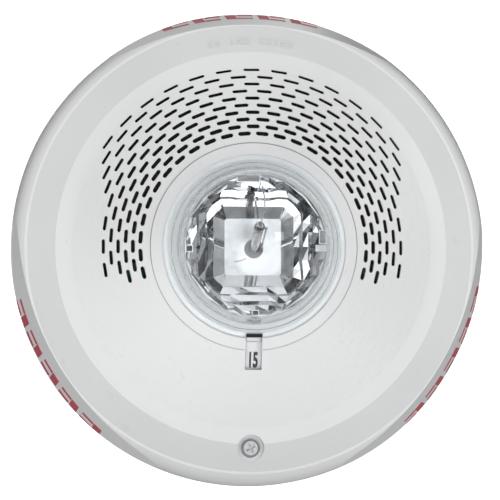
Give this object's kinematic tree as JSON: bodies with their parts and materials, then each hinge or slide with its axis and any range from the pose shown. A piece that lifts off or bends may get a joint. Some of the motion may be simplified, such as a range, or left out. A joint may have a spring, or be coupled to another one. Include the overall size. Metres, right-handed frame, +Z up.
{
  "type": "horn strobe",
  "caption": "Round ceiling or wall horn strobe: domed slotted cover, clear dome lens over a chrome reflector and flash tube, hinged on a mounting plate.",
  "frame": {"origin": "centre of the mounting plate's back face, on the wall plane, midway between the octagon box screws", "axes": "+Y into the wall, so the front faces -Y; +Z up, with the hinge hooks at the top and the captive screw at the bottom"},
  "size_m": [0.173, 0.064, 0.1729],
  "materials": {
    "cover_plastic": "fine satin moulded white plastic",
    "clear_lens": "clear polished polycarbonate",
    "reflector_chrome": "vacuum metallised, mirror bright",
    "tube_glass": "clear glass tube",
    "black_plastic": "matt black moulded plastic",
    "black_mesh": "fine black dust mesh",
    "white_plastic": "matt moulded white plastic",
    "board_green": "green solder mask on glass fibre",
    "brass": "bright",
    "steel": "zinc plated",
    "tungsten": "dull grey wire",
    "signal_red": "red insulation and printed marks",
    "ferrite": "matt dark ferrite",
    "copper": "enamelled copper winding",
    "label_grey": "light grey label plastic",
    "selector_orange": "matt orange plastic",
    "capacitor_sleeve": "shrink sleeve",
    "chip_black": "moulded epoxy"
  },
  "bodies": {
    "base": {"mounting_plate": "white_plastic", "terminal_block": "black_plastic", "terminal_screws": "steel", "clamp_plates": "steel", "contact_sockets": "brass", "shorting_spring": "brass", "screw_insert": "brass"},
    "head": {"front_cover": "cover_plastic", "lens": "clear_lens", "reflector": "reflector_chrome", "flash_tube": "tube_glass", "tube_electrodes": "tungsten", "trigger_wire": "tungsten", "tube_grommet": "ferrite", "grille_screen": "black_mesh", "horn_chamber": "black_plastic", "piezo_disc": "brass", "horn_cap": "black_plastic", "horn_leads": "signal_red", "main_board": "board_green", "board_components": "chip_black", "flash_capacitor": "capacitor_sleeve", "trigger_coil": "black_plastic", "inductor_core": "ferrite", "inductor_winding": "copper", "candela_contacts": "brass", "tone_switch": "chip_black", "rear_shell": "white_plastic", "rear_shell_screws": "steel", "board_screws": "steel", "pin_block": "white_plastic", "contact_pins": "brass"},
    "candela_selector": {"candela_dial": "label_grey", "candela_knob": "selector_orange", "candela_wiper": "brass"},
    "tone_selector": {"tone_dial": "selector_orange"},
    "retainer": {"screw_retainer": "steel"},
    "captive_screw": {"captive_screw": "steel"}
  },
  "joints": [
    {"name": "head_swing", "type": "hinge", "parent": "base", "child": "head", "pos_m": [0, -0.005, 0.0775], "axis": [-1, 0, 0], "range_deg": [0, 12]},
    {"name": "candela_turn", "type": "hinge", "parent": "head", "child": "candela_selector", "pos_m": [0, 0, 0], "axis": [0, -1, 0], "range_deg": [0, 48]},
    {"name": "tone_turn", "type": "hinge", "parent": "head", "child": "tone_selector", "pos_m": [0.026, 0, -0.03], "axis": [0, 1, 0], "range_deg": [0, 270]},
    {"name": "screw_travel", "type": "slide", "parent": "head", "child": "retainer", "axis": [0, -1, 0], "range_m": [0, 0.0042]},
    {"name": "screw_turn", "type": "hinge", "parent": "retainer", "child": "captive_screw", "pos_m": [0, 0, -0.0729], "axis": [0, -1, 0], "range_deg": [0, 2520]}
  ],
  "couplings": [
    {"joint": "screw_turn", "follows": "screw_travel", "rad_per_m": 10472}
  ]
}
